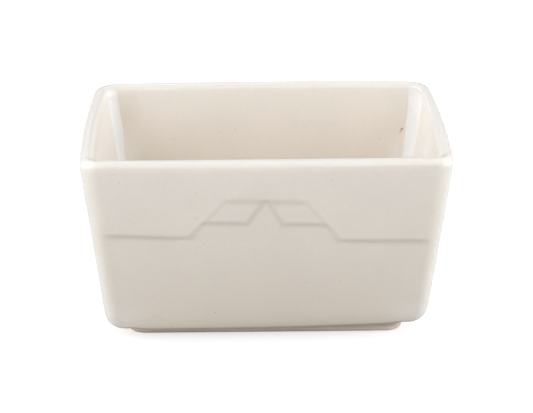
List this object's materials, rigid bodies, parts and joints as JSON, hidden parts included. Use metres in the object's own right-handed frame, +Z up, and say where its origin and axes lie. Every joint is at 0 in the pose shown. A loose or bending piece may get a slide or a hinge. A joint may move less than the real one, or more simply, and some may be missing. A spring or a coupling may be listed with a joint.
{
  "type": "sugar packet holder",
  "caption": "Open rectangular tub of glazed hotel china that tapers to a low foot, with a rounded rim and a stepped low relief on its long sides, for a row of upright sugar packets.",
  "frame": {"origin": "centre of the foot, on the table", "axes": "+Z up, +X along the long sides, front long side facing -Y"},
  "size_m": [0.108, 0.0676, 0.0605],
  "materials": {
    "glaze": "clear gloss glaze over warm white vitrified china",
    "bare_china": "bare fired china, matt"
  },
  "bodies": {
    "root": {"rim_lip": "glaze", "side_walls": "glaze", "floor_pan": "glaze", "foot_ring": "glaze", "foot_contact_band": "bare_china", "front_relief_field": "glaze", "front_relief_tile_left": "glaze", "front_relief_tile_right": "glaze", "back_relief_field": "glaze", "back_relief_tile_left": "glaze", "back_relief_tile_right": "glaze"}
  },
  "joints": []
}
